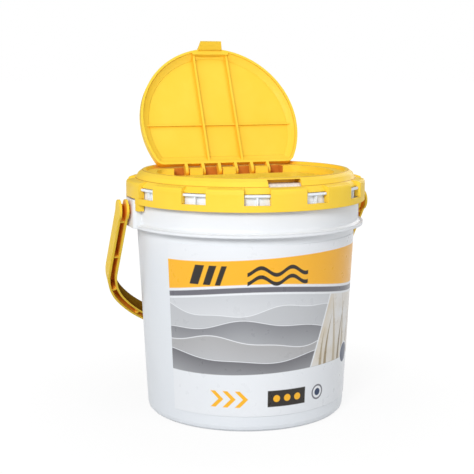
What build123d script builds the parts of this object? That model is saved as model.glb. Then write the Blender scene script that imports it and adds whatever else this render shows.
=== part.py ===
from build123d import *
import math
import os

# Insulated bait pail: a moulded pail with a foam liner, a lid ring with a hinged
# D-shaped hatch, and a carrying handle. All sizes are in millimetres.
# The origin is the centre of the pail's foot, +Z is up, the latch faces -Y,
# the hatch's hinge is at +Y and the handle turns about an axis along X.
# The hatch stands open against its stop and the handle hangs behind the pail.

# Pail wall, a cone that widens upward
foot_radius = 99.4
shoulder_radius = 108.7
shoulder_height = 188.0
pail_wall = 2.2
pail_floor = 2.4
base_round = 6.0
foot_recess = 2.0
foot_width = 9.0

# Stacking collar above the shoulder
collar_reach = 3.6
collar_height = 41.0
collar_flange_reach = 5.2
collar_flange_thickness = 2.6
collar_flare = 4.4
collar_step = 5.0
rim_bevel = 0.9

# Catch lugs that show in the lid ring's windows, each with a gusset below it
catch_reach = 4.3
catch_drop = 1.6
catch_thickness = 2.2
catch_side_gap = 0.2
gusset_thickness = 1.8
gusset_height = 9.0

# Ear pads that carry the handle
ear_stand_out = 0.4
ear_half_width = 16.0
ear_top_gap = 1.2
ear_corner = 4.0

# Handle pivot: a stub pin on the handle in a blind bore in the ear
pivot_rise = 17.0
pivot_pin_radius = 4.5
pivot_pin_clearance = 0.06
pivot_pin_depth = 5.6
pivot_bore_spare = 0.5

# Number of steps that round a turned outline's corner
corner_steps = 3

# Foam liner
liner_gap = 0.4
liner_wall = 16.0
liner_floor = 17.4
liner_lid_gap = 0.4
liner_chamfer = 6.4
liner_inner_round = 14.0

# Printed label on the pail wall
label_thickness = 0.35
label_gap = 0.1
label_bottom = 16.0
label_top_gap = 8.0
label_start_angle = -62.0
label_end_angle = 99.0

# Lid ring: skirt, shoulder and crown
ring_wall = 2.0
ring_overlap = 17.0
ring_seat_gap = 0.3
skirt_gap = 0.4
skirt_height = 16.4
rim_gap = 0.6
crown_set_in = 9.6
crown_rise = 5.3
crown_height = 7.6
crown_bulge = 0.8
lip_set_in = 6.6
lip_width = 3.6
lip_height = 2.9

# Windows round the skirt, the raised pads between them and the deep window sides
window_sill = 6.0
window_height = 10.0
window_half_angle = 5.9
window_side_angle = 1.0
pad_wall = 1.7
window_pitch = 28.8
windows_per_side = 6
header_reach = 2.3
header_face = 1.4
pad_rise = 4.2
pad_round_width = 2.6
pad_round_height = 4.6

# Tabs of the ring beside the ears, and the notch of the skirt above each ear
tab_width = 7.0
tab_drop = 6.6
tab_inset = 0.3
tab_depth = 5.6
ear_side_gap = 0.4
ear_notch = 5.0

# Recess for the hatch, with its seat and the splash neck below
ledge_width = 10.9
recess_back_gap = 2.2
recess_depth = 6.9
seat_width = 8.0
neck_depth = 9.0

# Latch slot in the crown, under a raised bridge, and the pocket for the hatch's tab
slot_width = 32.6
slot_drop = 0.3
slot_bar = 1.2
bridge_side = 4.2
bridge_drop = 0.1
tab_pocket_reach = 5.7
tab_pocket_web = 1.6
tab_pocket_lap = 4.5
tab_side_gap = 0.8

# Hatch
hatch_side_gap = 1.8
hatch_edge = 46.2
hatch_proud = 1.4
hatch_plate = 2.2
hatch_rim = 2.5
hatch_seat_gap = 0.3
hatch_corner = 10.0
hatch_edge_bevel = 0.9
hatch_rim_flare = 2.6
rib_offset = 18.5
rib_thickness = 2.4
rib_depth = 3.6
cross_rib_y = 1.0
cross_rib_thickness = 1.6
cross_rib_depth = 1.8

# Hatch hinge
hinge_set_back = 6.1
hinge_drop = 4.4
hatch_open_angle = 116.4
hinge_arm_radius = 4.0
hinge_arm_thickness = 3.2
hinge_arm_places = [9.0, 27.0, 45.0]
hinge_arm_top = 3.0
hinge_pin_radius = 2.2
hinge_pin_clearance = 0.06
hinge_pin_length = 3.0
hinge_side_gap = 0.4
hinge_back_gap = 2.6
hinge_under_gap = 0.4
hinge_end_pocket = 15.0

# Latch tab of the hatch
latch_root_width = 27.0
latch_taper = 2.5
latch_thickness = 2.2
latch_straight = 8.6
latch_flare_out = 5.4
latch_flare_down = 6.6

# Handle: a ribbed channel bent into a U that hangs on the ears
bail_ear_gap = 2.4
bail_thickness = 9.2
bail_width = 16.0
bail_side = 2.2
bail_web = 2.2
bail_straight = 84.0
bail_corner_radius = 75.0
bail_tilt = 37.6
bail_wall_gap = 0.4
bail_boss_radius = 10.0
bail_rib_thickness = 2.0
bail_rib_pitch = 50.0
bail_rib_first = 10.5
bail_rib_setback = 1.2

# Heights and radii that follow from the sizes above
pail_height = shoulder_height + collar_height
collar_radius = shoulder_radius + collar_reach
collar_flange_radius = collar_radius + collar_flange_reach
collar_top = shoulder_height + collar_flange_thickness
collar_inner = collar_radius - pail_wall
inner_floor = foot_recess + pail_floor
catch_radius = collar_radius + catch_reach
catch_top = pail_height - catch_drop
catch_height = catch_top - catch_thickness
pivot_height = shoulder_height + pivot_rise
label_top = shoulder_height - label_top_gap
skirt_inner = catch_radius + skirt_gap
ring_radius = skirt_inner + ring_wall
ring_bottom = pail_height - ring_overlap
skirt_top = ring_bottom + skirt_height
rim_clear = collar_radius + rim_gap
header_radius = collar_radius + header_reach
window_bottom = ring_bottom + window_sill
window_top = window_bottom + window_height
ear_face = ring_radius + ear_stand_out
notch_top = ring_bottom + ear_notch
pad_top = skirt_top + pad_rise
crown_base_radius = ring_radius - crown_set_in
crown_base_height = skirt_top + crown_rise
lip_outer_radius = crown_base_radius - lip_set_in
lip_inner_radius = lip_outer_radius - lip_width
lip_top = crown_base_height + crown_height
ledge_height = lip_top - lip_height
ledge_underside = ledge_height - ring_wall
liner_top = ledge_underside - liner_lid_gap
seat_height = ledge_height - recess_depth
recess_radius = lip_inner_radius - ledge_width
recess_back = hatch_edge + recess_back_gap
recess_corner = hatch_corner + hatch_side_gap
opening_radius = recess_radius - seat_width
opening_back = recess_back - seat_width
slot_bottom = crown_base_height - slot_drop
bridge_width = slot_width + 2 * bridge_side
tab_pocket_radius = recess_radius + tab_pocket_reach
hatch_radius = recess_radius - hatch_side_gap
hatch_bottom = seat_height + hatch_seat_gap
hatch_top = ledge_height + hatch_proud
hinge_y = recess_back + hinge_set_back
hinge_z = ledge_height - hinge_drop
hinge_pocket_back = hinge_arm_radius + hinge_back_gap
hinge_pocket_below = hinge_arm_radius + hinge_under_gap
latch_tip_width = latch_root_width - 2 * latch_taper
bail_inner_half = ear_face + bail_ear_gap
half_window_pitch = window_pitch / 2


def cone_radius(height):
    """Outer radius of the pail wall at a height."""
    slope = (shoulder_radius - foot_radius) / shoulder_height
    return foot_radius + slope * height


def spin(*points):
    """Turn a closed outline of (radius, height) points about the upright axis."""
    outline = Polyline(*points, close=True)
    return revolve(Plane.XZ * make_face(outline), Axis.Z)


def soft_corner(start, corner, end):
    """Outline points that round a corner, from a start point to an end point."""
    points = []
    for step in range(corner_steps + 1):
        along = step / corner_steps
        pull = 2 * along * (1 - along)
        radius = (1 - along) ** 2 * start[0] + pull * corner[0] + along**2 * end[0]
        height = (1 - along) ** 2 * start[1] + pull * corner[1] + along**2 * end[1]
        points.append((radius, height))
    return points


def at_angle(shape, angle):
    """Turn a shape made at the front (-Y) round to an angle towards +X."""
    return Rot(0, 0, angle) * shape


def front_block(width, inner, outer, bottom, top):
    """A block at the front, between two distances from the axis and two heights."""
    block = Box(width, outer - inner, top - bottom)
    return Pos(0, -(inner + outer) / 2, (bottom + top) / 2) * block


def block(x_low, x_high, y_low, y_high, z_low, z_high):
    """A block between two corners."""
    size = Box(x_high - x_low, y_high - y_low, z_high - z_low)
    return Pos((x_low + x_high) / 2, (y_low + y_high) / 2, (z_low + z_high) / 2) * size


def sector(half_angle, *points):
    """An outline turned about the upright axis, half to each side of the front."""
    outline = Polyline(*points, close=True)
    piece = revolve(Plane.XZ * make_face(outline), Axis.Z, revolution_arc=2 * half_angle)
    return Rot(0, 0, -half_angle - 90) * piece


def window_angles():
    """Angles of the windows: six round the front half and six round the back."""
    first = -half_window_pitch * (windows_per_side - 1)
    front = [first + window_pitch * number for number in range(windows_per_side)]
    return front + [angle + 180 for angle in front]


def pad_angles():
    """Angles of the pads that stand midway between neighbouring windows."""
    front = [angle + half_window_pitch for angle in window_angles()[: windows_per_side - 1]]
    return front + [angle + 180 for angle in front]


def d_shape(radius, back, corner):
    """A round outline cut straight across at the back, with rounded corners."""
    disc = Circle(radius)
    beyond = Pos(0, back + radius) * Rectangle(2 * radius, 2 * radius)
    cut = disc - beyond
    return fillet(cut.vertices(), corner)


def d_solid(radius, back, corner, bottom, top):
    """The outline above, raised from one height to another."""
    return Pos(0, 0, bottom) * extrude(d_shape(radius, back, corner), top - bottom)


# Pail
def make_pail():
    shoulder_inner = shoulder_radius - pail_wall
    foot_outer = cone_radius(0)
    foot_inner = foot_outer - base_round - foot_width
    step_top = collar_top + pail_wall
    foot = soft_corner(
        (foot_outer - base_round, 0),
        (foot_outer, 0),
        (cone_radius(base_round), base_round),
    )
    flare = soft_corner(
        (collar_radius + collar_flare, collar_top),
        (collar_radius, collar_top),
        (collar_radius, collar_top + collar_flare),
    )
    pail = spin(
        (0, foot_recess),
        (foot_inner - foot_recess, foot_recess),
        (foot_inner, 0),
        *foot,
        (shoulder_radius, shoulder_height),
        (collar_flange_radius, shoulder_height),
        (collar_flange_radius, collar_top),
        *flare,
        (collar_radius, pail_height - rim_bevel),
        (collar_radius - rim_bevel, pail_height),
        (collar_inner, pail_height),
        (collar_inner, step_top),
        (shoulder_inner, step_top - collar_step),
        (cone_radius(inner_floor) - pail_wall, inner_floor),
        (0, inner_floor),
    )
    lug = catch_lug()
    for angle in window_angles():
        pail = pail + at_angle(lug, angle)
    for side in (-90, 90):
        pail = pail + at_angle(ear_pad(), side)
        pail = pail - at_angle(ear_bore(), side)
    return pail


def catch_lug():
    """A catch lug with its gusset, made at the front."""
    half_angle = window_half_angle - math.degrees(catch_side_gap / catch_radius)
    root = collar_radius - pail_wall / 2
    bar = sector(
        half_angle,
        (root, catch_height),
        (catch_radius, catch_height),
        (catch_radius, catch_top),
        (root, catch_top),
    )
    gusset = front_block(
        gusset_thickness,
        root,
        catch_radius - rim_bevel,
        catch_height - gusset_height,
        catch_top - catch_thickness / 2,
    )
    return bar + gusset


def ear_pad():
    """One ear pad, made at the front."""
    top = notch_top - ear_top_gap
    pad = front_block(2 * ear_half_width, 0, ear_face, shoulder_height, top)
    pad = fillet(pad.edges().filter_by(Axis.Z).group_by(Axis.Y)[0], ear_corner)
    core = Cylinder(collar_radius - pail_wall / 2, 2 * pail_height)
    return pad - Pos(0, 0, pail_height) * core


def ear_bore():
    """The blind bore for the handle's stub pin, made at the front."""
    depth = pivot_pin_depth + pivot_bore_spare
    bore = Cylinder(pivot_pin_radius + pivot_pin_clearance, depth)
    return Pos(0, depth / 2 - ear_face, pivot_height) * Rot(90, 0, 0) * bore


# Foam liner
def make_liner():
    base = cone_radius(inner_floor) - pail_wall - liner_gap
    under_step = shoulder_radius - pail_wall - liner_gap
    upper = collar_inner - liner_gap
    step_top = collar_top + pail_wall
    mouth = upper - liner_wall
    well = base - liner_wall
    well_floor = inner_floor + liner_floor
    draft = (mouth - well) / (liner_top - well_floor)
    well_round = soft_corner(
        (well + draft * liner_inner_round, well_floor + liner_inner_round),
        (well, well_floor),
        (well - liner_inner_round, well_floor),
    )
    return spin(
        (0, inner_floor),
        (base, inner_floor),
        (under_step, step_top - collar_step - liner_gap),
        (upper, step_top),
        (upper, liner_top - liner_chamfer),
        (upper - liner_chamfer, liner_top),
        (mouth, liner_top),
        *well_round,
        (0, well_floor),
    )


# Printed label
def make_label():
    low = cone_radius(label_bottom) + label_gap
    high = cone_radius(label_top) + label_gap
    outline = Polyline(
        (low, label_bottom),
        (low + label_thickness, label_bottom),
        (high + label_thickness, label_top),
        (high, label_top),
        close=True,
    )
    span = label_end_angle - label_start_angle
    film = revolve(Plane.XZ * make_face(outline), Axis.Z, revolution_arc=span)
    return Rot(0, 0, label_start_angle - 90) * film


# Lid ring
def shoulder_line(radius):
    """Height of the ring's outer shoulder at a radius."""
    slope = (crown_base_height - skirt_top) / (ring_radius - crown_base_radius)
    return crown_base_height - slope * (radius - crown_base_radius)


def shoulder_drop():
    """Upright thickness of the sloping shoulder."""
    slope = (crown_base_height - skirt_top) / (ring_radius - crown_base_radius)
    return ring_wall * math.hypot(1, slope)


def crown_inner(height):
    """Radius of the crown's inner face at a height."""
    slope = (crown_base_radius - lip_outer_radius) / (lip_top - crown_base_height)
    outer = crown_base_radius - slope * (height - crown_base_height)
    return outer - ring_wall * math.hypot(1, slope)


def make_ring():
    ring = ring_shell()
    ring = ring + d_solid(
        recess_radius + ring_wall,
        recess_back + ring_wall,
        recess_corner + ring_wall,
        seat_height - ring_wall,
        ledge_height,
    )
    ring = ring + d_solid(
        opening_radius + ring_wall,
        opening_back + ring_wall,
        hatch_corner,
        seat_height - neck_depth,
        seat_height,
    )
    ring = ring + hinge_box()
    ring = ring + latch_bridge()
    ring = ring - d_solid(recess_radius, recess_back, recess_corner, seat_height, lip_top + ring_wall)
    ring = ring - d_solid(
        opening_radius,
        opening_back,
        hatch_corner - ring_wall,
        seat_height - 2 * neck_depth,
        lip_top,
    )
    ring = ring - hinge_pockets()
    ring = ring - latch_slot()
    ring = ring - latch_pocket()
    ring = add_skirt_details(ring)
    return ring


def ring_shell():
    """The skirt, pads, crown and lip, closed by a full deck inside."""
    inner_base = crown_base_radius - ring_wall
    bulge_radius = (crown_base_radius + lip_outer_radius) / 2 + crown_bulge
    bulge_height = (crown_base_height + lip_top) / 2 + crown_bulge
    pad_round = soft_corner(
        (ring_radius, pad_top - pad_round_height),
        (ring_radius, pad_top),
        (ring_radius - pad_round_width, pad_top),
    )
    shell = spin(
        (0, ledge_underside),
        (crown_inner(ledge_underside), ledge_underside),
        (inner_base, shoulder_line(inner_base) - shoulder_drop()),
        (rim_clear, shoulder_line(rim_clear) - shoulder_drop()),
        (rim_clear, window_bottom),
        (skirt_inner, window_bottom),
        (skirt_inner, ring_bottom),
        (ring_radius, ring_bottom),
        *pad_round,
        (crown_base_radius, crown_base_height),
        (bulge_radius, bulge_height),
        (lip_outer_radius, lip_top),
        (lip_inner_radius, lip_top),
        (lip_inner_radius, ledge_height),
        (0, ledge_height),
    )
    rim_outer = collar_radius - rim_bevel
    rib = spin(
        (collar_inner, pail_height + ring_seat_gap),
        (rim_outer, pail_height + ring_seat_gap),
        (rim_outer, shoulder_line(rim_outer) - ring_wall / 2),
        (collar_inner, shoulder_line(collar_inner) - ring_wall / 2),
    )
    return shell + rib


def hinge_box():
    """The solid box behind the recess that the hinge pockets are cut into."""
    half = hinge_arm_places[-1] + hinge_end_pocket + ring_wall
    return block(
        -half,
        half,
        recess_back,
        hinge_y + hinge_pocket_back + ring_wall,
        hinge_z - hinge_pocket_below - ring_wall,
        ledge_height,
    )


def lug_sides():
    """Half widths of the lug gaps: where each pocket starts and ends along X."""
    spare = hinge_arm_thickness / 2 + hinge_side_gap
    first, second, third = hinge_arm_places
    return [(first - spare, second + spare), (third - spare, third + hinge_end_pocket)]


def hinge_pockets():
    """The pockets for the arms, open to the recess, and the bore through the lugs."""
    reach = hinge_arm_places[-1]
    cuts = Pos(0, hinge_y, hinge_z) * Rot(0, 90, 0) * Cylinder(
        hinge_pin_radius + hinge_pin_clearance, 2 * reach
    )
    for start, end in lug_sides():
        pocket = block(
            start,
            end,
            opening_back + seat_width / 2,
            hinge_y + hinge_pocket_back,
            hinge_z - hinge_pocket_below,
            lip_top,
        )
        cuts = cuts + pocket + mirror(pocket, Plane.YZ)
    return cuts


def latch_bridge():
    """The raised bridge over the latch slot, flush with the lip."""
    top = lip_top - bridge_drop
    bridge = front_block(bridge_width, recess_radius, ring_radius, ledge_underside, top)
    outer = spin(
        (0, ledge_underside),
        (crown_inner(ledge_underside), ledge_underside),
        (lip_outer_radius - ring_wall, lip_top),
        (0, lip_top),
    )
    return bridge & outer


def latch_slot():
    """The slot through the crown, with the hollow behind it under the bridge."""
    return front_block(
        slot_width,
        tab_pocket_radius + tab_pocket_web,
        ring_radius,
        slot_bottom,
        lip_top - bridge_drop - slot_bar,
    )


def latch_pocket():
    """The pocket that the hatch's tab drops into when the hatch shuts."""
    return front_block(
        latch_root_width + 2 * tab_side_gap,
        recess_radius - tab_pocket_lap,
        tab_pocket_radius,
        seat_height - neck_depth,
        lip_top + ring_wall,
    )


def add_skirt_details(ring):
    """The hollows behind the pads, the windows, the ear notches and the ear tabs."""
    edge = window_half_angle + window_side_angle
    for angle in pad_angles():
        ring = ring - at_angle(pad_hollow(half_window_pitch - edge), angle)
    for angle in window_angles():
        ring = ring - at_angle(window(), angle)
    ear_gap = 90 - half_window_pitch * (windows_per_side - 1)
    for side in (-90, 90):
        ring = ring - at_angle(pad_hollow(ear_gap - edge), side)
        ring = ring - at_angle(skirt_notch(), side)
        for turned in (ear_tab(), mirror(ear_tab(), Plane.YZ)):
            ring = ring + at_angle(turned, side)
    return ring


def pad_hollow(half_angle):
    """The hollow behind a pad, which leaves deep walls beside the windows."""
    outer = ring_radius - pad_wall
    return sector(
        half_angle,
        (collar_radius, ring_bottom - ring_wall),
        (outer, ring_bottom - ring_wall),
        (outer, window_top),
        (collar_radius, window_top),
    )


def window():
    """A window, open at its top in front of the header, made at the front."""
    beyond = ring_radius + ring_wall
    return sector(
        window_half_angle,
        (collar_radius, window_bottom),
        (beyond, window_bottom),
        (beyond, lip_top),
        (crown_base_radius, lip_top),
        (crown_base_radius, crown_base_height),
        (header_radius, window_top + header_face),
        (header_radius, window_top),
        (collar_radius, window_top),
    )


def skirt_notch():
    """The notch of the skirt above an ear pad, made at the front."""
    return front_block(
        2 * (ear_half_width + ear_side_gap),
        collar_radius,
        ring_radius + ring_wall,
        ring_bottom - ring_wall,
        notch_top,
    )


def ear_tab():
    """The deep tab that keys the ring to one side of an ear, made at the front."""
    start = ear_half_width + ear_side_gap
    face = block(
        start,
        start + tab_width,
        -ring_radius,
        -collar_inner + ear_half_width,
        ring_bottom - tab_drop,
        window_bottom + pad_wall,
    )
    outer = ring_radius - tab_inset
    depth = spin(
        (outer - tab_depth, ring_bottom - 2 * tab_drop),
        (outer, ring_bottom - 2 * tab_drop),
        (outer, window_top),
        (outer - tab_depth, window_top),
    )
    return face & depth


# Hatch, made shut and then opened against its stop
def make_hatch():
    shell = d_solid(hatch_radius, hatch_edge, hatch_corner, hatch_bottom, hatch_top)
    top_edges = shell.faces().sort_by(Axis.Z)[-1].edges()
    shell = chamfer(top_edges, hatch_edge_bevel)
    underside = hatch_top - hatch_plate
    hollow = d_solid(
        hatch_radius - hatch_rim,
        hatch_edge - hatch_rim,
        hatch_corner - hatch_rim,
        hatch_bottom - hatch_plate,
        underside,
    )
    inner_edges = hollow.faces().sort_by(Axis.Z)[-1].edges()
    hollow = chamfer(inner_edges, hatch_rim_flare)
    hatch = shell - hollow
    hatch = hatch + hatch_ribs(underside)
    hatch = hatch + latch_tab()
    for place in hinge_arm_places:
        hatch = hatch + hinge_arm(place, pin_side(place))
        hatch = hatch + hinge_arm(-place, -pin_side(place))
    return open_hatch(hatch)


def pin_side(place):
    """Which way an arm's pin points: to the lug that its pair of arms holds."""
    return 1 if place == hinge_arm_places[1] else -1


def hatch_ribs(underside):
    """Two long ribs and one cross rib under the plate."""
    inside = d_solid(
        hatch_radius - hatch_rim / 2,
        hatch_edge - hatch_rim / 2,
        hatch_corner - hatch_rim / 2,
        underside - rib_depth,
        underside + hatch_plate / 2,
    )
    ribs = block(
        -hatch_radius,
        hatch_radius,
        cross_rib_y - cross_rib_thickness / 2,
        cross_rib_y + cross_rib_thickness / 2,
        underside - cross_rib_depth,
        underside + hatch_plate / 2,
    )
    for place in (-rib_offset, rib_offset):
        ribs = ribs + block(
            place - rib_thickness / 2,
            place + rib_thickness / 2,
            -hatch_radius,
            hatch_edge,
            underside - rib_depth,
            underside + hatch_plate / 2,
        )
    return ribs & inside


def latch_tab():
    """The latch tab: a strip that falls from the tip and flares out at its end."""
    outer = -hatch_radius
    inner = outer + latch_thickness
    bend_height = hatch_top - latch_straight
    skew = latch_thickness * math.tan(math.atan2(latch_flare_out, latch_flare_down) / 2)
    tip_y = outer - latch_flare_out
    tip_z = bend_height - latch_flare_down
    length = math.hypot(latch_flare_out, latch_flare_down)
    normal_y = latch_flare_down / length
    normal_z = -latch_flare_out / length
    outline = Polyline(
        (inner, hatch_top - hatch_edge_bevel),
        (outer, hatch_top - hatch_edge_bevel),
        (outer, bend_height),
        (tip_y, tip_z),
        (tip_y + latch_thickness * normal_y, tip_z + latch_thickness * normal_z),
        (inner, bend_height - skew),
        close=True,
    )
    strip = extrude(Plane.YZ * make_face(outline), latch_root_width / 2, both=True)
    half_root = latch_root_width / 2
    half_tip = latch_tip_width / 2
    low = tip_z - latch_thickness
    taper = Polyline(
        (-half_root, hatch_top),
        (half_root, hatch_top),
        (half_root, bend_height),
        (half_tip, low),
        (-half_tip, low),
        (-half_root, bend_height),
        close=True,
    )
    return strip & extrude(Plane.XZ * make_face(taper), 2 * hatch_radius)


def hinge_arm(place, side):
    """One hinge arm with its stub pin, at a place along X."""
    half = hinge_arm_thickness / 2
    disc = Pos(0, hinge_y, hinge_z) * Rot(0, 90, 0) * Cylinder(hinge_arm_radius, hinge_arm_thickness)
    rim_y = hatch_edge - hatch_rim / 2
    strap_outline = Polyline(
        (rim_y, hatch_bottom),
        (hinge_y, hinge_z - hinge_arm_radius),
        (hinge_y, hinge_z + hinge_arm_radius),
        (rim_y, hinge_z + hinge_arm_top),
        close=True,
    )
    strap = extrude(Plane.YZ * make_face(strap_outline), half, both=True)
    pin = Cylinder(hinge_pin_radius, hinge_pin_length + half)
    pin_middle = side * (hinge_pin_length + half) / 2
    pin = Pos(pin_middle, hinge_y, hinge_z) * Rot(0, 90, 0) * pin
    return Pos(place, 0, 0) * (disc + strap + pin)


def open_hatch(shape):
    """Turn the shut hatch about its hinge to its open stop."""
    to_axis = Pos(0, -hinge_y, -hinge_z)
    back = Pos(0, hinge_y, hinge_z)
    return back * Rot(-hatch_open_angle, 0, 0) * to_axis * shape


# Handle, made hanging straight down from the origin and then tilted back
def bail_reach():
    """Distance from the pivot to the inside of the loop, which rests on the pail."""
    tilt = math.radians(bail_tilt)
    slope = (shoulder_radius - foot_radius) / shoulder_height
    half = bail_width / 2
    away = foot_radius + slope * (pivot_height - half * math.sin(tilt))
    away = away + bail_wall_gap + half * math.cos(tilt)
    return away / (math.sin(tilt) + slope * math.cos(tilt))


def bail_line(inset):
    """The U line at an inset from the handle's outer edge, from ear to ear."""
    half = bail_inner_half + bail_thickness
    reach = bail_reach() + bail_thickness
    corner = bail_corner_radius
    across = half - corner
    down = reach - bail_straight
    crown = (across**2 + down**2 - corner**2) / (2 * (down - corner))
    crown_z = crown - reach
    tangent = math.atan2(-bail_straight - crown_z, across)
    touch_x = (crown - inset) * math.cos(tangent)
    touch_z = crown_z + (crown - inset) * math.sin(tangent)
    middle = tangent / 2
    corner_x = across + (corner - inset) * math.cos(middle)
    corner_z = (corner - inset) * math.sin(middle) - bail_straight
    side = half - inset
    return Wire(
        [
            Line((-side, 0), (-side, -bail_straight)).edge(),
            ThreePointArc((-side, -bail_straight), (-corner_x, corner_z), (-touch_x, touch_z)).edge(),
            ThreePointArc((-touch_x, touch_z), (0, inset - reach), (touch_x, touch_z)).edge(),
            ThreePointArc((touch_x, touch_z), (corner_x, corner_z), (side, -bail_straight)).edge(),
            Line((side, -bail_straight), (side, 0)).edge(),
        ]
    )


def bail_tongue(inset, front, back):
    """The solid inside the U line, between two places along Y."""
    line = bail_line(inset)
    ends = Line(line @ 1, line @ 0).edge()
    face = make_face(Wire(line.edges() + [ends]))
    return Pos(0, back, 0) * extrude(Plane.XZ * face, back - front)


def make_bail():
    half = bail_width / 2
    channel_back = half - bail_web
    bail = bail_tongue(0, -half, half) - bail_tongue(bail_thickness, -half, half)
    channel = bail_tongue(bail_side, -half, channel_back)
    channel = channel - bail_tongue(bail_thickness - bail_side, -half, channel_back)
    bail = bail - channel
    bail = bail + bail_ribs()
    for side in (-1, 1):
        bail = bail + bail_end(side)
    return Pos(0, 0, pivot_height) * Rot(bail_tilt, 0, 0) * bail


def bail_ribs():
    """Cross ribs in the channel, at even steps along both arms."""
    middle_line = bail_line(bail_thickness / 2)
    length = middle_line.length
    depth = bail_width - bail_rib_setback - bail_web / 2
    rib = Box(bail_rib_thickness, bail_thickness - bail_side, depth)
    rib_y = (bail_rib_setback - bail_web / 2) / 2
    ribs = Part()
    distance = bail_rib_first
    while distance < length / 2 - bail_rib_pitch / 2:
        for along in (distance, length - distance):
            point = middle_line @ (along / length)
            direction = middle_line % (along / length)
            place = Plane(origin=(point.X, rib_y, point.Y), x_dir=(direction.X, 0, direction.Y), z_dir=(0, 1, 0))
            ribs = ribs + place * rib
        distance = distance + bail_rib_pitch
    return ribs


def bail_end(side):
    """The boss at one end: two round cheeks, and the stub pin on the inner one."""
    outer = bail_inner_half + bail_thickness
    cheeks = [outer - bail_side / 2, bail_inner_half + bail_side / 2]
    boss = Part()
    for place in cheeks:
        cheek = Cylinder(bail_boss_radius, bail_side)
        boss = boss + Pos(side * place, 0, 0) * Rot(0, 90, 0) * cheek
    pin_tip = ear_face - pivot_pin_depth
    pin_root = bail_inner_half + bail_side / 2
    pin = Cylinder(pivot_pin_radius, pin_root - pin_tip)
    return boss + Pos(side * (pin_tip + pin_root) / 2, 0, 0) * Rot(0, 90, 0) * pin


parts = {
    "pail": make_pail(),
    "foam_liner": make_liner(),
    "label": make_label(),
    "lid_ring": make_ring(),
    "hatch": make_hatch(),
    "bail": make_bail(),
}

os.makedirs("parts", exist_ok=True)
for name, shape in parts.items():
    export_step(shape, f"parts/{name}.step")
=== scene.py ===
import math

import bmesh
import bpy
from mathutils import Matrix, Vector


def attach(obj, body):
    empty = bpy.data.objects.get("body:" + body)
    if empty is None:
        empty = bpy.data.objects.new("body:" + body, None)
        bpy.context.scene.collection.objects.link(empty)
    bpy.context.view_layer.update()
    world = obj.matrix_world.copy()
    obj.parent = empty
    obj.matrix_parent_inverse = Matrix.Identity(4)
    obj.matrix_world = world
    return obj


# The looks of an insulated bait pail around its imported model. +Z is up and the
# latch is at -Y. Lengths are in metres, unless a comment says millimetres.

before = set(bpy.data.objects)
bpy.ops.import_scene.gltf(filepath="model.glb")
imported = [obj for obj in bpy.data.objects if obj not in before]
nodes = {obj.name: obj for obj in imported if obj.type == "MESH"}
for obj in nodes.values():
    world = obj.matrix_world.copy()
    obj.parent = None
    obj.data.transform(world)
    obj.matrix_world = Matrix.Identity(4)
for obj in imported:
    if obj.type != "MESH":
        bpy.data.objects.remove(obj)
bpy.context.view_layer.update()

MM = 0.001
IMAGE = 474

# Camera fitted to the photograph's outlines
CAMERA_AWAY = 1.07325
CAMERA_UP = 0.33777
CAMERA_AZIMUTH = math.radians(19.8)
CAMERA_PITCH = 0.1535
CAMERA_YAW = -0.0078
CAMERA_FOCAL_PIXELS = 1074.84
SENSOR = 36.0
CAMERA_NEAR = 0.01

# Floor: white towards the horizon, with the shadow left in it near the object
FLOOR_RADIUS = 30.0
FLOOR_SIDES = 96
FLOOR_COLOUR = (0.62, 0.62, 0.62)
SHADOW_NEAR = 0.10
SHADOW_FAR = 0.42
SHADOW_GLOW = 0.85
FLOOR_GLOW = 1.04
FLOOR_ROUGHNESS = 0.5

# Light: an even world, and lamps as (name, place, size, watts), all aimed at one point
WORLD_SEEN = 1.0
WORLD_LIGHT = 0.28
LIGHT_AIM = (0, 0, 0.17)
LAMPS = (
    ("key", (-1.15, -1.60, 1.15), (0.6, 0.6), 28.0),
    ("side", (-1.8, -0.5, 0.7), (0.8, 1.2), 7.0),
    ("fill", (1.1, -1.5, 0.6), (0.8, 1.0), 8.0),
    ("top", (0.1, -0.2, 2.2), (1.2, 1.2), 8.0),
    ("back", (1.6, 1.2, 0.9), (1.2, 1.2), 12.0),
)

# Parts of a noise's range over which a colour or a roughness changes
FLECK_SPREAD = (0.35, 0.7)
CLOUD_SPREAD = (0.3, 0.7)
GLOSS_SPREAD = (0.3, 0.75)

# Yellow plastic, as linear colours: two open tones, then painted shade colours, the darkest where it is
# most enclosed
YELLOW_DARK = (0.950, 0.640, 0.052)
YELLOW_LIGHT = (0.970, 0.670, 0.066)
# Painted shade: the ring's hollows, the hatch's corners, the handle's channel, the hinge pockets, the
# handle's inner side and the latch tab's sides
YELLOW_DEEP_SHADE = (0.840, 0.400, 0.020)
YELLOW_CORNER_SHADE = (0.920, 0.480, 0.020)
YELLOW_CHANNEL_SHADE = (0.980, 0.350, 0.035)
YELLOW_POCKET_SHADE = (0.680, 0.230, 0.030)
YELLOW_SHADED = (0.120, 0.036, 0.002)
YELLOW_HOLLOW_SHADE = (0.140, 0.060, 0.012)
RING_SHINE = 0.20
HATCH_SHINE = 0.22
HOLLOW_SHINE = 0.05
BAIL_SHINE = 0.08

# Surface of the yellow plastic: lengths in metres, and scales of noise per metre
YELLOW_CLOUD = 28.0
YELLOW_GRAIN = 2600.0
YELLOW_GRAIN_DEPTH = 0.00006
YELLOW_FLOW = 60.0
YELLOW_FLOW_STRETCH = (1.0, 1.0, 0.4)
YELLOW_FLOW_DEPTH = 0.0004
YELLOW_FLOW_STRENGTH = 0.25
YELLOW_EDGE = 0.0005
YELLOW_PATCHES = 90.0
YELLOW_ROUGHNESS = (0.40, 0.52)
HOLLOW_FLECKS = 900.0

# How far enclosing walls are looked for, and how free a point is where its painted shade changes
RING_REACH = 0.010
RING_FREE = (0.10, 0.60)
HATCH_REACH = 0.012
HATCH_FREE = (0.30, 0.95)
HOLLOW_REACH = 0.004
HOLLOW_FREE = (0.30, 0.90)
BAIL_REACH = 0.010
BAIL_FREE = (0.10, 0.70)

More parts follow.
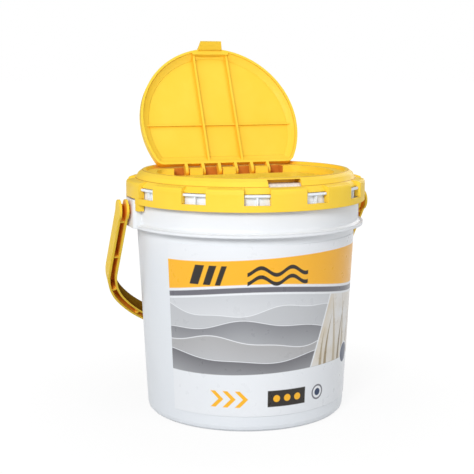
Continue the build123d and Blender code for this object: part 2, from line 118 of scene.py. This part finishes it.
# Shade on the handle: where it faces the pail's middle, with the pail near and no wall beside it
PIVOT = (0.0, 0.0, 0.205)
INWARD = (0.2, 0.6)
NEAR_REACH = 0.060
NEAR = (0.35, 0.85)
SHADE_FREE = (0.75, 1.0)
SHADE_DULL = 0.5

# Painted shade: thin dark lines round the lid ring's crown creases, as (radius, height), and the inside
# of its hinge pockets, in millimetres
CREASE_SHADE = (0.55, 0.20, 0.01)
CREASE_INNER = 0.15
CREASE_OUTER = 0.60
CREASE_SHARE = 0.8
CROWN_CREASES = ((102.8, 241.3), (109.4, 233.7))
POCKET_FRONT = 49.2
POCKET_BACK = 61.7
POCKET_HALF = 62.0
POCKET_TOP = 238.2
POCKET_EDGE = 0.3

# White moulding of the pail: its colours, with painted light in the collar and at the rim, and the
# heights between which they change
BODY_DARK = (0.750, 0.785, 0.830)
BODY_LIGHT = (0.775, 0.810, 0.850)
COLLAR_DARK = (0.790, 0.815, 0.850)
COLLAR_LIGHT = (0.810, 0.835, 0.865)
RIM_PAINTED_LIGHT = (0.87, 0.93, 1.0)
COLLAR_BLEND = (0.150, 0.190)
RIM_BLEND = (0.2155, 0.2175)
PAIL_CLOUD = 14.0
PAIL_GRAIN = 2200.0
PAIL_GRAIN_DEPTH = 0.00004
PAIL_FLOW = 36.0
PAIL_FLOW_STRETCH = (1.0, 1.0, 0.25)
PAIL_FLOW_DEPTH = 0.0005
PAIL_FLOW_STRENGTH = 0.2
PAIL_SCUFFS = 420.0
PAIL_SCUFF_STRETCH = (1.0, 1.0, 0.06)
PAIL_SCUFF_DEPTH = 0.00003
PAIL_SCUFF_STRENGTH = 0.4
PAIL_EDGE = 0.0012
PAIL_PATCHES = 70.0
PAIL_ROUGHNESS = (0.32, 0.44)
PAIL_SHINE = 0.35

# Foam of the liner
FOAM_SEAM = (0.74, 0.70, 0.66)
FOAM_BEAD = (0.83, 0.79, 0.75)
FOAM_BEAD_SCALE = 300.0
FOAM_SEAM_WIDTH = 0.12
FOAM_DEPTH = 0.0002
FOAM_EDGE = 0.001
FOAM_ROUGHNESS = 0.75
FOAM_SHINE = 0.25

# Hatch, in millimetres, as it lies shut, and its hinge
HATCH_RADIUS = 86.5
HATCH_BACK = 46.2
HATCH_CORNER = 10.0
HATCH_UNDERSIDE = 237.6
HINGE_Y = 54.5
HINGE_Z = 234.0
OPEN_ANGLE = math.radians(116.4)
COVE_START = 2.3
COVE_WIDTH = 7.4
COVE_HEIGHT = 5.0
COVE_POWER = 1.35
COVE_STEPS = 7
ROOT_HALF = 20.4
ROOT_RADIUS = 84.3
ROOT_CHORD = 79.6
ROOT_SLOPE = 1.2
ROOT_HEIGHT = 5.75
SUNK = 0.3
CORNER_STEPS = 12
ARC_STEPS = 96
ROOT_STEPS = 24
# Cheeks of the latch tab: (y, z, half width of the tab there)
CHEEK_OUTLINE = ((-86.3, 238.6, 13.3), (-91.7, 225.0, 11.3), (-86.3, 231.2, 13.3))
CHEEK_THICKNESS = 1.8

# Print of the label: its colours, and its shapes in millimetres round and up the pail
LABEL_RADIUS = 104.0
LABEL_EDGE = 0.35
LABEL_CLOUD = 9.0
FIELD_CLOUD = 30.0
PRINT_WHITE = (0.800, 0.825, 0.860)
PRINT_COOL = (0.770, 0.800, 0.840)
PRINT_PALE = (0.700, 0.720, 0.750)
PRINT_MIST = (0.560, 0.580, 0.610)
PRINT_BEIGE = (0.660, 0.600, 0.500)
PRINT_AMBER = (0.930, 0.470, 0.022)
PRINT_GOLD = (0.900, 0.450, 0.030)
PRINT_SLATE = (0.150, 0.150, 0.175)
PRINT_CHARCOAL = (0.022, 0.018, 0.014)
PRINT_NAVY = (0.020, 0.040, 0.100)
# Fine ripple on a wave: how much shorter it is, and how much further on it starts
FINE_PITCH = 2.6
FINE_START = 2.0
# Wavy lines: middle, swing, pitch, start
FOOT_LINE = (58.0, 1.6, 44.0, 0.4)
SWEEP_TOP = (167.0, 3.5, 62.0, 0.5)
SWEEP_BOTTOM = (137.0, 7.0, 50.0, 2.0)
SKY = (96.0, 138.0)
# Layers of water: middle, swing, pitch, start, ripple, colour
LABEL_WAVES = (
    (118.0, 5.0, 24.0, 1.0, 1.6, (0.500, 0.515, 0.540)),
    (103.0, 5.5, 29.0, 2.6, 1.8, (0.230, 0.235, 0.255)),
    (88.0, 5.0, 26.0, 4.2, 1.5, (0.400, 0.400, 0.410)),
    (73.0, 4.0, 31.0, 5.6, 1.2, (0.150, 0.150, 0.165)),
)
# How a layer pales below its crest, and the pale line along the crest
WATER_FADE = 26.0
WATER_PALE = 0.55
WATER_CREST = 0.9
# Reeds: foot, low, high, half width, bend, colour
LABEL_REEDS = (
    (44.0, 58.0, 96.0, 2.0, 5.0, (0.420, 0.350, 0.240)),
    (51.0, 58.0, 108.0, 2.2, 9.0, (0.340, 0.270, 0.170)),
    (66.0, 58.0, 128.0, 2.6, -7.0, (0.500, 0.430, 0.320)),
    (75.0, 58.0, 119.0, 2.2, 11.0, (0.270, 0.210, 0.130)),
    (84.0, 58.0, 126.0, 2.4, -5.0, (0.420, 0.350, 0.240)),
    (97.0, 58.0, 116.0, 2.6, 8.0, (0.340, 0.270, 0.170)),
    (110.0, 58.0, 124.0, 2.4, -8.0, (0.480, 0.400, 0.290)),
)
# Amber of the sweep, which turns to gold along it, and its dark ripples: middle, low and high end
SWEEP_BLEND = (-100.0, 100.0)
LABEL_RIPPLES = ((156.0, -34.0, 24.0), (147.5, -34.0, 24.0))
RIPPLE_WAVE = (3.4, 4.6, 0.0)
RIPPLE_HALF = 1.9
# Slanted bars: place and half width of each, then the slope and ends of all
LABEL_BARS = ((-134.0, 4.5), (-121.5, 3.5), (-111.0, 2.5))
BAR_SLOPE = 0.35
BAR_ENDS = (142.5, 161.0)
# Pale field behind the reeds, with its slanted border, and the stripe along the sweep's foot
FIELD_SLOPE = 0.34
FIELD_START = 12.0
BORDER = (10.6, 12.4)
STRIPE = (-7.5, -2.5)
STRIPE_MARGIN = -9.5
# Row of marks along the foot: its low edge, middle and high edge, and what stands in it
ROW_LOW = 25.0
ROW_MIDDLE = 33.0
ROW_HIGH = 41.0
LABEL_ARROWS = (-62.0, -50.0, -38.0)
ARROW_WIDTH = 5.0
LABEL_BOX = (-14.0, 26.0)
LABEL_DROPS = (-5.0, 6.0, 17.0)
DROP_RADIUS = 3.4
# Discs, from the largest down: (middle along, middle up, radius, colour)
LABEL_DISCS = (
    (42.0, 33.0, 7.5, PRINT_SLATE),
    (42.0, 33.0, 5.9, PRINT_WHITE),
    (42.0, 33.0, 3.6, PRINT_NAVY),
    (92.0, 62.0, 11.0, PRINT_WHITE),
    (92.0, 62.0, 9.8, PRINT_NAVY),
)
# Surface of the film
LABEL_PATCHES = 120.0
LABEL_ROUGHNESS = (0.26, 0.38)
LABEL_FLOW = 50.0
LABEL_FLOW_DEPTH = 0.0003
LABEL_FLOW_STRENGTH = 0.2
LABEL_ROUND = 0.0004
LABEL_SHINE = 0.4


def make_camera():
    """The camera that sees the object as the photograph does."""
    right = Vector((math.cos(CAMERA_AZIMUTH), -math.sin(CAMERA_AZIMUTH), 0))
    away = Vector((math.sin(CAMERA_AZIMUTH), math.cos(CAMERA_AZIMUTH), 0))
    up = Vector((0, 0, 1))
    level = math.cos(CAMERA_PITCH)
    look = right * math.sin(CAMERA_YAW) * level + away * math.cos(CAMERA_YAW) * level
    look = look - up * math.sin(CAMERA_PITCH)
    side = look.cross(up).normalized()
    top = side.cross(look)
    data = bpy.data.cameras.new("camera")
    data.sensor_width = SENSOR
    data.lens = CAMERA_FOCAL_PIXELS * SENSOR / IMAGE
    data.clip_start = CAMERA_NEAR
    data.dof.use_dof = False
    camera = bpy.data.objects.new("camera", data)
    turn = Matrix((side, top, -look)).transposed().to_4x4()
    camera.matrix_world = Matrix.Translation(up * CAMERA_UP - away * CAMERA_AWAY) @ turn
    bpy.context.scene.collection.objects.link(camera)
    bpy.context.scene.camera = camera


class Nodes:
    """Builds a material's node tree with short calls that return sockets."""

    def __init__(self, name):
        self.material = bpy.data.materials.new(name)
        self.material.use_nodes = True
        self.tree = self.material.node_tree
        self.tree.nodes.clear()
        self.output = self.make("OutputMaterial")

    def make(self, kind, *values, **named):
        """Adds a node and fills its inputs: by place, or by name with _ for a space."""
        node = self.tree.nodes.new("ShaderNode" + kind)
        for place, value in enumerate(values):
            self.fill(node.inputs[place], value)
        for name, value in named.items():
            self.fill(node.inputs[name.replace("_", " ")], value)
        return node

    def fill(self, socket, value):
        """Sets an input, or links it to another node's output."""
        if isinstance(value, bpy.types.NodeSocket):
            self.tree.links.new(value, socket)
        elif value is not None:
            if hasattr(value, "__len__") and len(value) == 3 and socket.type == "RGBA":
                value = (*value, 1)
            socket.default_value = value

    def math(self, operation, *values, clamp=False):
        """One arithmetic step."""
        node = self.tree.nodes.new("ShaderNodeMath")
        node.operation = operation
        node.use_clamp = clamp
        for place, value in enumerate(values):
            self.fill(node.inputs[place], value)
        return node.outputs[0]

    def ramp(self, value, low, high, to_low=0.0, to_high=1.0, smooth=False):
        """Maps a value from one range to another, held at both ends."""
        node = self.make("MapRange", value, low, high, to_low, to_high)
        node.clamp = True
        if smooth:
            node.interpolation_type = "SMOOTHSTEP"
        return node.outputs[0]

    def mix(self, share, under, over, blend="MIX"):
        """Mixes two colours."""
        node = self.tree.nodes.new("ShaderNodeMix")
        node.data_type = "RGBA"
        node.blend_type = blend
        self.fill(node.inputs[0], share)
        self.fill(node.inputs[6], under)
        self.fill(node.inputs[7], over)
        return node.outputs[2]

    def place(self):
        """The point in the row frame, in metres: the pieces sit at the origin."""
        return self.make("TexCoord").outputs["Object"]

    def noise(self, scale, detail=2.0, roughness=0.5, stretch=None):
        """Cloudy noise in the row frame, from 0 to 1."""
        point = self.place()
        if stretch:
            point = self.make("Mapping", point, Scale=stretch).outputs[0]
        node = self.make("TexNoise", point, Scale=scale, Detail=detail, Roughness=roughness)
        return node.outputs[0]

    def round_place(self):
        """How far a point is from the upright axis, and how high it is, in metres."""
        x, y, z = self.make("SeparateXYZ", self.place()).outputs
        return self.length(x, y), z

    def length(self, side, rise):
        """The length of a flat step."""
        square = self.math("MULTIPLY_ADD", rise, rise, self.math("MULTIPLY", side, side))
        return self.math("SQRT", square)

    def openness(self, reach, samples=8):
        """How free a point is within a reach, from 0 to 1."""
        node = self.make("AmbientOcclusion", Distance=reach)
        node.samples = samples
        return node.outputs["AO"]

    def facing(self, target):
        """How squarely a surface faces a point of the row frame, from -1 to 1."""
        step = self.make("VectorMath", target, self.place())
        step.operation = "SUBTRACT"
        way = self.make("VectorMath", step.outputs[0])
        way.operation = "NORMALIZE"
        dot = self.make("VectorMath", way.outputs[0], self.make("TexCoord").outputs["Normal"])
        dot.operation = "DOT_PRODUCT"
        return dot.outputs["Value"]

    def rounded(self, radius, samples=4):
        """A normal that rounds the moulded edges."""
        node = self.make("Bevel", Radius=radius)
        node.samples = samples
        return node.outputs[0]

    def bump(self, height, distance, normal, strength=1.0):
        """A bump on top of a normal."""
        named = {"Strength": strength, "Distance": distance, "Height": height, "Normal": normal}
        return self.make("Bump", **named).outputs[0]

    def finish(self, **inputs):
        """The shader itself."""
        shader = self.make("BsdfPrincipled", **inputs)
        self.tree.links.new(shader.outputs[0], self.output.inputs[0])
        return self.material


def fresh_yellow(n):
    """The open colour of the yellow polypropylene, faintly clouded."""
    return n.mix(n.ramp(n.noise(YELLOW_CLOUD, 3.0), *FLECK_SPREAD), YELLOW_DARK, YELLOW_LIGHT)


def yellow_plastic(n, colour, shine):
    """Moulded yellow polypropylene with a fine grain and soft edges."""
    grain = n.noise(YELLOW_GRAIN)
    flow = n.noise(YELLOW_FLOW, stretch=YELLOW_FLOW_STRETCH)
    normal = n.bump(grain, YELLOW_GRAIN_DEPTH, n.rounded(YELLOW_EDGE))
    normal = n.bump(flow, YELLOW_FLOW_DEPTH, normal, YELLOW_FLOW_STRENGTH)
    roughness = n.ramp(n.noise(YELLOW_PATCHES, 3.0), *GLOSS_SPREAD, *YELLOW_ROUGHNESS)
    return n.finish(Base_Color=colour, Roughness=roughness, Normal=normal, Specular_IOR_Level=shine)


def ring_yellow():
    """The lid ring, with painted shade: deeper orange in its hollows and hinge pockets, and thin dark
    lines along its creases.
    """
    n = Nodes("ring_yellow")
    colour = n.mix(n.ramp(n.openness(RING_REACH), *RING_FREE), YELLOW_DEEP_SHADE, fresh_yellow(n))
    x, y, z = n.make("SeparateXYZ", n.place()).outputs
    # Painted shade inside the hinge pockets
    inside = n.ramp(y, POCKET_FRONT * MM, (POCKET_FRONT + 1.0) * MM)
    before = n.ramp(y, (POCKET_BACK - POCKET_EDGE) * MM, POCKET_BACK * MM, 1.0, 0.0)
    inside = n.math("MULTIPLY", inside, before)
    across = n.ramp(n.math("ABSOLUTE", x), (POCKET_HALF - 1.0) * MM, POCKET_HALF * MM, 1.0, 0.0)
    under = n.ramp(z, (POCKET_TOP - POCKET_EDGE) * MM, POCKET_TOP * MM, 1.0, 0.0)
    pocket_shade = n.math("MULTIPLY", n.math("MULTIPLY", inside, across), under)
    colour = n.mix(pocket_shade, colour, YELLOW_POCKET_SHADE)
    radius, height = n.round_place()
    # Painted shade: thin dark lines along the crown's two creases
    for crease_radius, crease_height in CROWN_CREASES:
        side = n.math("SUBTRACT", radius, crease_radius * MM)
        rise = n.math("SUBTRACT", height, crease_height * MM)
        line = n.ramp(n.length(side, rise), CREASE_INNER * MM, CREASE_OUTER * MM, CREASE_SHARE, 0.0)
        colour = n.mix(line, colour, CREASE_SHADE)
    return yellow_plastic(n, colour, RING_SHINE)


def hatch_yellow():
    """The hatch, with painted shade: deeper orange beside its ribs and rim."""
    n = Nodes("hatch_yellow")
    colour = n.mix(n.ramp(n.openness(HATCH_REACH), *HATCH_FREE), YELLOW_CORNER_SHADE, fresh_yellow(n))
    return yellow_plastic(n, colour, HATCH_SHINE)


def hollow_shade_yellow():
    """Painted shade for the sides of the latch tab, which lie deep in its fold."""
    n = Nodes("hollow_shade_yellow")
    free = n.ramp(n.openness(HOLLOW_REACH), *HOLLOW_FREE)
    colour = n.mix(free, YELLOW_HOLLOW_SHADE, YELLOW_POCKET_SHADE)
    colour = n.mix(n.ramp(n.noise(HOLLOW_FLECKS, 3.0), *FLECK_SPREAD), YELLOW_HOLLOW_SHADE, colour)
    return yellow_plastic(n, colour, HOLLOW_SHINE)


def bail_yellow():
    """The handle, with painted shade: deep orange in its channel, and dark and without shine on the side
    that lies near the pail.
    """
    n = Nodes("bail_yellow")
    free = n.ramp(n.openness(BAIL_REACH), *BAIL_FREE)
    colour = n.mix(free, YELLOW_CHANNEL_SHADE, fresh_yellow(n))
    inward = n.ramp(n.facing(PIVOT), *INWARD)
    near = n.ramp(n.openness(NEAR_REACH), *NEAR, 1.0, 0.0)
    shaded = n.math("MULTIPLY", n.math("MULTIPLY", inward, near), n.ramp(free, *SHADE_FREE))
    colour = n.mix(shaded, colour, YELLOW_SHADED)
    return yellow_plastic(n, colour, n.ramp(shaded, 0.0, SHADE_DULL, BAIL_SHINE, 0.0))


def white_plastic():
    """The pail's white moulding, with painted light: brighter in the collar, and brightest at the rim."""
    n = Nodes("pail_white")
    radius, height = n.round_place()
    cloud = n.ramp(n.noise(PAIL_CLOUD, 3.0), *CLOUD_SPREAD)
    body = n.mix(cloud, BODY_DARK, BODY_LIGHT)
    collar = n.mix(cloud, COLLAR_DARK, COLLAR_LIGHT)
    # Painted light: the collar lighter than the body, and the band at the rim lightest
    colour = n.mix(n.ramp(height, *COLLAR_BLEND, smooth=True), body, collar)
    colour = n.mix(n.ramp(height, *RIM_BLEND), colour, RIM_PAINTED_LIGHT)
    flow = n.noise(PAIL_FLOW, stretch=PAIL_FLOW_STRETCH)
    scuffs = n.noise(PAIL_SCUFFS, stretch=PAIL_SCUFF_STRETCH)
    grain = n.noise(PAIL_GRAIN)
    normal = n.bump(grain, PAIL_GRAIN_DEPTH, n.rounded(PAIL_EDGE))
    normal = n.bump(flow, PAIL_FLOW_DEPTH, normal, PAIL_FLOW_STRENGTH)
    normal = n.bump(scuffs, PAIL_SCUFF_DEPTH, normal, PAIL_SCUFF_STRENGTH)
    roughness = n.ramp(n.noise(PAIL_PATCHES, 3.0), *GLOSS_SPREAD, *PAIL_ROUGHNESS)
    return n.finish(Base_Color=colour, Roughness=roughness, Normal=normal, Specular_IOR_Level=PAIL_SHINE)


def foam():
    """Moulded bead foam."""
    n = Nodes("liner_foam")
    beads = n.make("TexVoronoi", n.place(), Scale=FOAM_BEAD_SCALE)
    beads.feature = "DISTANCE_TO_EDGE"
    seam = n.ramp(beads.outputs["Distance"], 0.0, FOAM_SEAM_WIDTH, smooth=True)
    colour = n.mix(seam, FOAM_SEAM, FOAM_BEAD)
    normal = n.bump(seam, FOAM_DEPTH, n.rounded(FOAM_EDGE))
    return n.finish(
        Base_Color=colour, Roughness=FOAM_ROUGHNESS, Normal=normal, Specular_IOR_Level=FOAM_SHINE
    )


def label_print():
    """A generic printed film: an amber sweep, layered waves, reeds and a row of small marks."""
    n = Nodes("label_print")
    x, y, z = n.make("SeparateXYZ", n.place()).outputs
    angle = n.math("ARCTAN2", x, n.math("MULTIPLY", y, -1.0))
    along = n.math("MULTIPLY", angle, LABEL_RADIUS)
    up = n.math("MULTIPLY", z, 1 / MM)

    def above(value, limit, edge=LABEL_EDGE):
        return n.ramp(n.math("SUBTRACT", value, limit), -edge, edge)

    def both(*masks):
        result = masks[0]
        for mask in masks[1:]:
            result = n.math("MULTIPLY", result, mask)
        return result

    def between(value, low, high):
        return both(above(value, low), n.math("SUBTRACT", 1.0, above(value, high)))

    def slanted(slope):
        return n.math("SUBTRACT", along, n.math("MULTIPLY", up, slope))

    def wave(middle, swing, pitch, start, ripple=0.0):
        """A height along the label, in millimetres."""
        turn = n.math("MULTIPLY_ADD", along, 1.0 / pitch, start)
        level = n.math("MULTIPLY_ADD", n.math("SINE", turn), swing, middle)
        if ripple:
            fine = n.math("SINE", n.math("MULTIPLY_ADD", along, FINE_PITCH / pitch, FINE_START * start))
            level = n.math("MULTIPLY_ADD", fine, ripple, level)
        return level

    def disc(centre_along, centre_up, radius):
        side = n.math("SUBTRACT", along, centre_along)
        rise = n.math("SUBTRACT", up, centre_up)
        return n.math("SUBTRACT", 1.0, above(n.length(side, rise), radius))

    colour = n.mix(n.ramp(n.noise(LABEL_CLOUD), *CLOUD_SPREAD), PRINT_WHITE, PRINT_COOL)

    # A soft sky over four layers of water, down to the white foot
    sky = n.mix(n.ramp(up, *SKY), PRINT_PALE, PRINT_MIST)
    over_foot = above(n.math("SUBTRACT", up, wave(*FOOT_LINE)), 0.0)
    colour = n.mix(over_foot, colour, sky)
    for middle, swing, pitch, start, ripple, paint in LABEL_WAVES:
        crest = wave(middle, swing, pitch, start, ripple)
        depth = n.math("SUBTRACT", crest, up)
        inside = both(above(depth, 0.0), over_foot)
        shade = n.mix(n.ramp(depth, 0.0, WATER_FADE, 0.0, WATER_PALE), paint, PRINT_MIST)
        colour = n.mix(inside, colour, shade)
        colour = n.mix(both(between(depth, 0.0, WATER_CREST), inside), colour, PRINT_WHITE)

    # Reeds on a pale field at the right
    field = both(above(slanted(FIELD_SLOPE), FIELD_START), over_foot)
    cloud = n.ramp(n.noise(FIELD_CLOUD, 3.0), *FLECK_SPREAD)
    colour = n.mix(field, colour, n.mix(cloud, PRINT_BEIGE, PRINT_WHITE))
    for foot, low, high, width, bend, paint in LABEL_REEDS:
        share = n.ramp(up, low, high)
        lean = n.math("MULTIPLY_ADD", n.math("MULTIPLY", share, share), bend, foot)
        half = n.math("MULTIPLY_ADD", share, -width, width)
        side = n.math("ABSOLUTE", n.math("SUBTRACT", along, lean))
        blade = both(above(n.math("SUBTRACT", half, side), 0.0), between(up, low, high), field)
        colour = n.mix(blade, colour, paint)
    border = both(between(slanted(FIELD_SLOPE), *BORDER), over_foot)
    colour = n.mix(border, colour, PRINT_WHITE)

    # The amber sweep with its dark line, over the picture
    under_top = n.math("SUBTRACT", wave(*SWEEP_TOP), up)
    over_bottom = n.math("SUBTRACT", up, wave(*SWEEP_BOTTOM))
    colour = n.mix(above(over_bottom, STRIPE_MARGIN), colour, PRINT_WHITE)
    colour = n.mix(between(over_bottom, *STRIPE), colour, PRINT_SLATE)
    sweep = both(above(over_bottom, 0.0), above(under_top, 0.0))
    amber = n.mix(n.ramp(along, *SWEEP_BLEND), PRINT_AMBER, PRINT_GOLD)
    colour = n.mix(sweep, colour, amber)
    for middle, low, high in LABEL_RIPPLES:
        stroke = n.math("ABSOLUTE", n.math("SUBTRACT", up, wave(middle, *RIPPLE_WAVE)))
        inside = both(n.math("SUBTRACT", 1.0, above(stroke, RIPPLE_HALF)), between(along, low, high))
        colour = n.mix(inside, colour, PRINT_CHARCOAL)
    for centre, half in LABEL_BARS:
        bar = both(between(slanted(BAR_SLOPE), centre - half, centre + half), between(up, *BAR_ENDS))
        colour = n.mix(bar, colour, PRINT_CHARCOAL)

    # Small marks along the foot
    row = between(up, ROW_LOW, ROW_HIGH)
    for centre in LABEL_ARROWS:
        rise = n.math("ABSOLUTE", n.math("SUBTRACT", up, ROW_MIDDLE))
        arrow = between(n.math("ADD", along, rise), centre, centre + ARROW_WIDTH)
        colour = n.mix(both(arrow, row), colour, PRINT_AMBER)
    colour = n.mix(both(between(along, *LABEL_BOX), row), colour, PRINT_CHARCOAL)
    for centre in LABEL_DROPS:
        colour = n.mix(disc(centre, ROW_MIDDLE, DROP_RADIUS), colour, PRINT_AMBER)
    for centre_along, centre_up, radius, paint in LABEL_DISCS:
        colour = n.mix(disc(centre_along, centre_up, radius), colour, paint)

    roughness = n.ramp(n.noise(LABEL_PATCHES, 4.0), *GLOSS_SPREAD, *LABEL_ROUGHNESS)
    normal = n.bump(n.noise(LABEL_FLOW), LABEL_FLOW_DEPTH, n.rounded(LABEL_ROUND), LABEL_FLOW_STRENGTH)
    return n.finish(Base_Color=colour, Roughness=roughness, Normal=normal, Specular_IOR_Level=LABEL_SHINE)


def opened(point):
    """Turns a point of the shut hatch to where the hatch rests, in metres."""
    x, y, z = point
    y = y - HINGE_Y
    z = z - HINGE_Z
    turned_y = y * math.cos(OPEN_ANGLE) + z * math.sin(OPEN_ANGLE)
    turned_z = z * math.cos(OPEN_ANGLE) - y * math.sin(OPEN_ANGLE)
    return x * MM, (turned_y + HINGE_Y) * MM, (turned_z + HINGE_Z) * MM


def hatch_piece(name, points, faces, material):
    """A moulded detail of the hatch, given as it lies shut."""
    mesh = bpy.data.meshes.new(name)
    mesh.from_pydata([opened(point) for point in points], [], faces)
    build = bmesh.new()
    build.from_mesh(mesh)
    bmesh.ops.recalc_face_normals(build, faces=build.faces)
    build.to_mesh(mesh)
    build.free()
    mesh.materials.append(material)
    piece = bpy.data.objects.new(name, mesh)
    bpy.context.scene.collection.objects.link(piece)
    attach(piece, "hatch")
    return piece


def outline(offset):
    """The hatch's outline, moved inwards, as points round it."""
    radius = HATCH_RADIUS - offset
    corner = HATCH_CORNER - offset
    corner_y = HATCH_BACK - HATCH_CORNER
    corner_x = math.sqrt((HATCH_RADIUS - HATCH_CORNER) ** 2 - corner_y ** 2)
    meet = math.atan2(corner_y, corner_x)
    points = []
    for step in range(CORNER_STEPS):
        turn = math.radians(90) + (meet - math.radians(90)) * step / CORNER_STEPS
        points.append((corner_x + corner * math.cos(turn), corner_y + corner * math.sin(turn)))
    sweep = math.radians(180) + 2 * meet
    for step in range(ARC_STEPS):
        turn = meet - sweep * step / ARC_STEPS
        points.append((radius * math.cos(turn), radius * math.sin(turn)))
    for step in range(CORNER_STEPS):
        turn = math.radians(180) - meet + (meet - math.radians(90)) * step / CORNER_STEPS
        points.append((-corner_x + corner * math.cos(turn), corner_y + corner * math.sin(turn)))
    points.append((-corner_x, HATCH_BACK - offset))
    return points


def tube_faces(rings, count):
    """Faces between closed rings of points, the last ring joined to the first."""
    faces = []
    for ring in range(rings):
        after = (ring + 1) % rings
        for step in range(count):
            ahead = (step + 1) % count
            here = (ring * count + step, ring * count + ahead)
            there = (after * count + ahead, after * count + step)
            faces.append(here + there)
    return faces


def make_cove(material):
    """The soft hollow curve between the hatch's rim and its plate."""
    section = [(COVE_START, -SUNK)]
    for step in range(COVE_STEPS + 1):
        share = step / COVE_STEPS
        section.append((COVE_START + COVE_WIDTH * share, COVE_HEIGHT * (1 - share) ** COVE_POWER))
    section.append((COVE_START + COVE_WIDTH, -SUNK))
    points = []
    for offset, height in section:
        loop = outline(offset)
        points += [(x, y, HATCH_UNDERSIDE - height) for x, y in loop]
    piece = hatch_piece("hatch_cove", points, tube_faces(len(section), len(loop)), material)
    for polygon in piece.data.polygons:
        polygon.use_smooth = True


def make_latch_root(material):
    """The straight land behind the latch tab, between the two long ribs."""
    half = math.asin(ROOT_HALF / ROOT_RADIUS)
    points = []
    for height, chord in ((ROOT_HEIGHT, ROOT_CHORD), (-SUNK, ROOT_CHORD - ROOT_SLOPE)):
        for step in range(ROOT_STEPS + 1):
            turn = -half + 2 * half * step / ROOT_STEPS
            place = (ROOT_RADIUS * math.sin(turn), -ROOT_RADIUS * math.cos(turn))
            points.append((*place, HATCH_UNDERSIDE - height))
        points.append((ROOT_HALF, -chord, HATCH_UNDERSIDE - height))
        points.append((-ROOT_HALF, -chord, HATCH_UNDERSIDE - height))
    count = len(points) // 2
    faces = [tuple(range(count)), tuple(range(count, 2 * count))]
    for step in range(count):
        ahead = (step + 1) % count
        faces.append((step, ahead, count + ahead, count + step))
    hatch_piece("latch_root", points, faces, material)


def make_cheeks(material):
    """The two side walls that stiffen the flared latch tab."""
    for name, side in (("latch_cheek_left", -1), ("latch_cheek_right", 1)):
        outer = [(side * half, y, z) for y, z, half in CHEEK_OUTLINE]
        inner = [(side * (half - CHEEK_THICKNESS), y, z) for y, z, half in CHEEK_OUTLINE]
        faces = [(0, 1, 2), (3, 4, 5), (0, 1, 4, 3), (1, 2, 5, 4), (2, 0, 3, 5)]
        hatch_piece(name, outer + inner, faces, material)


def dress(node, material):
    """Gives a carried-over CAD node its material."""
    mesh = nodes[node].data
    mesh.materials.clear()
    mesh.materials.append(material)


def make_stage():
    """The pale floor, which the camera sees white, with the object's soft shadow."""
    bpy.ops.mesh.primitive_circle_add(vertices=FLOOR_SIDES, radius=FLOOR_RADIUS, fill_type="NGON")
    floor = bpy.context.object
    floor.name = "floor"
    n = Nodes("floor_pale")
    lit = n.make("BsdfDiffuse", FLOOR_COLOUR, FLOOR_ROUGHNESS)
    glow = n.make("Emission", (1.0, 1.0, 1.0), FLOOR_GLOW)
    path = n.make("LightPath")
    seen = n.math("MAXIMUM", path.outputs["Is Camera Ray"], path.outputs["Is Glossy Ray"])
    away = n.make("VectorMath", n.place())
    away.operation = "LENGTH"
    bare = n.ramp(away.outputs["Value"], SHADOW_NEAR, SHADOW_FAR, SHADOW_GLOW, 1.0, smooth=True)
    share = n.math("MULTIPLY", seen, bare)
    surface = n.make("MixShader", share, lit.outputs[0], glow.outputs[0])
    n.tree.links.new(surface.outputs[0], n.output.inputs[0])
    floor.data.materials.append(n.material)


def area_light(name, place, size, power):
    """A soft box that faces the object."""
    data = bpy.data.lights.new(name, "AREA")
    data.shape = "RECTANGLE"
    data.size = size[0]
    data.size_y = size[1]
    data.energy = power
    lamp = bpy.data.objects.new(name, data)
    lamp.location = place
    aim = Vector(LIGHT_AIM) - Vector(place)
    lamp.rotation_euler = aim.to_track_quat("-Z", "Y").to_euler()
    bpy.context.scene.collection.objects.link(lamp)


def make_light():
    """A white studio: an even world, which the camera sees white, and five soft boxes."""
    scene = bpy.context.scene
    world = bpy.data.worlds.new("studio")
    world.use_nodes = True
    scene.world = world
    tree = world.node_tree
    tree.nodes.clear()
    out = tree.nodes.new("ShaderNodeOutputWorld")
    seen = tree.nodes.new("ShaderNodeBackground")
    seen.inputs[0].default_value = (1, 1, 1, 1)
    seen.inputs[1].default_value = WORLD_SEEN
    lit = tree.nodes.new("ShaderNodeBackground")
    lit.inputs[0].default_value = (1, 1, 1, 1)
    lit.inputs[1].default_value = WORLD_LIGHT
    path = tree.nodes.new("ShaderNodeLightPath")
    both = tree.nodes.new("ShaderNodeMath")
    both.operation = "MAXIMUM"
    tree.links.new(path.outputs["Is Camera Ray"], both.inputs[0])
    tree.links.new(path.outputs["Is Transmission Ray"], both.inputs[1])
    mix = tree.nodes.new("ShaderNodeMixShader")
    tree.links.new(both.outputs[0], mix.inputs[0])
    tree.links.new(lit.outputs[0], mix.inputs[1])
    tree.links.new(seen.outputs[0], mix.inputs[2])
    tree.links.new(mix.outputs[0], out.inputs[0])
    for name, place, size, power in LAMPS:
        area_light(name, place, size, power)


make_camera()
make_stage()
make_light()

dress("lid_ring", ring_yellow())
hatch_material = hatch_yellow()
dress("hatch", hatch_material)
dress("bail", bail_yellow())
make_cove(hatch_material)
make_latch_root(hatch_material)
# The latch tab's sides are painted dark with shade
make_cheeks(hollow_shade_yellow())
dress("pail", white_plastic())
dress("foam_liner", foam())
dress("label", label_print())

scene = bpy.context.scene
scene.view_settings.view_transform = "Standard"
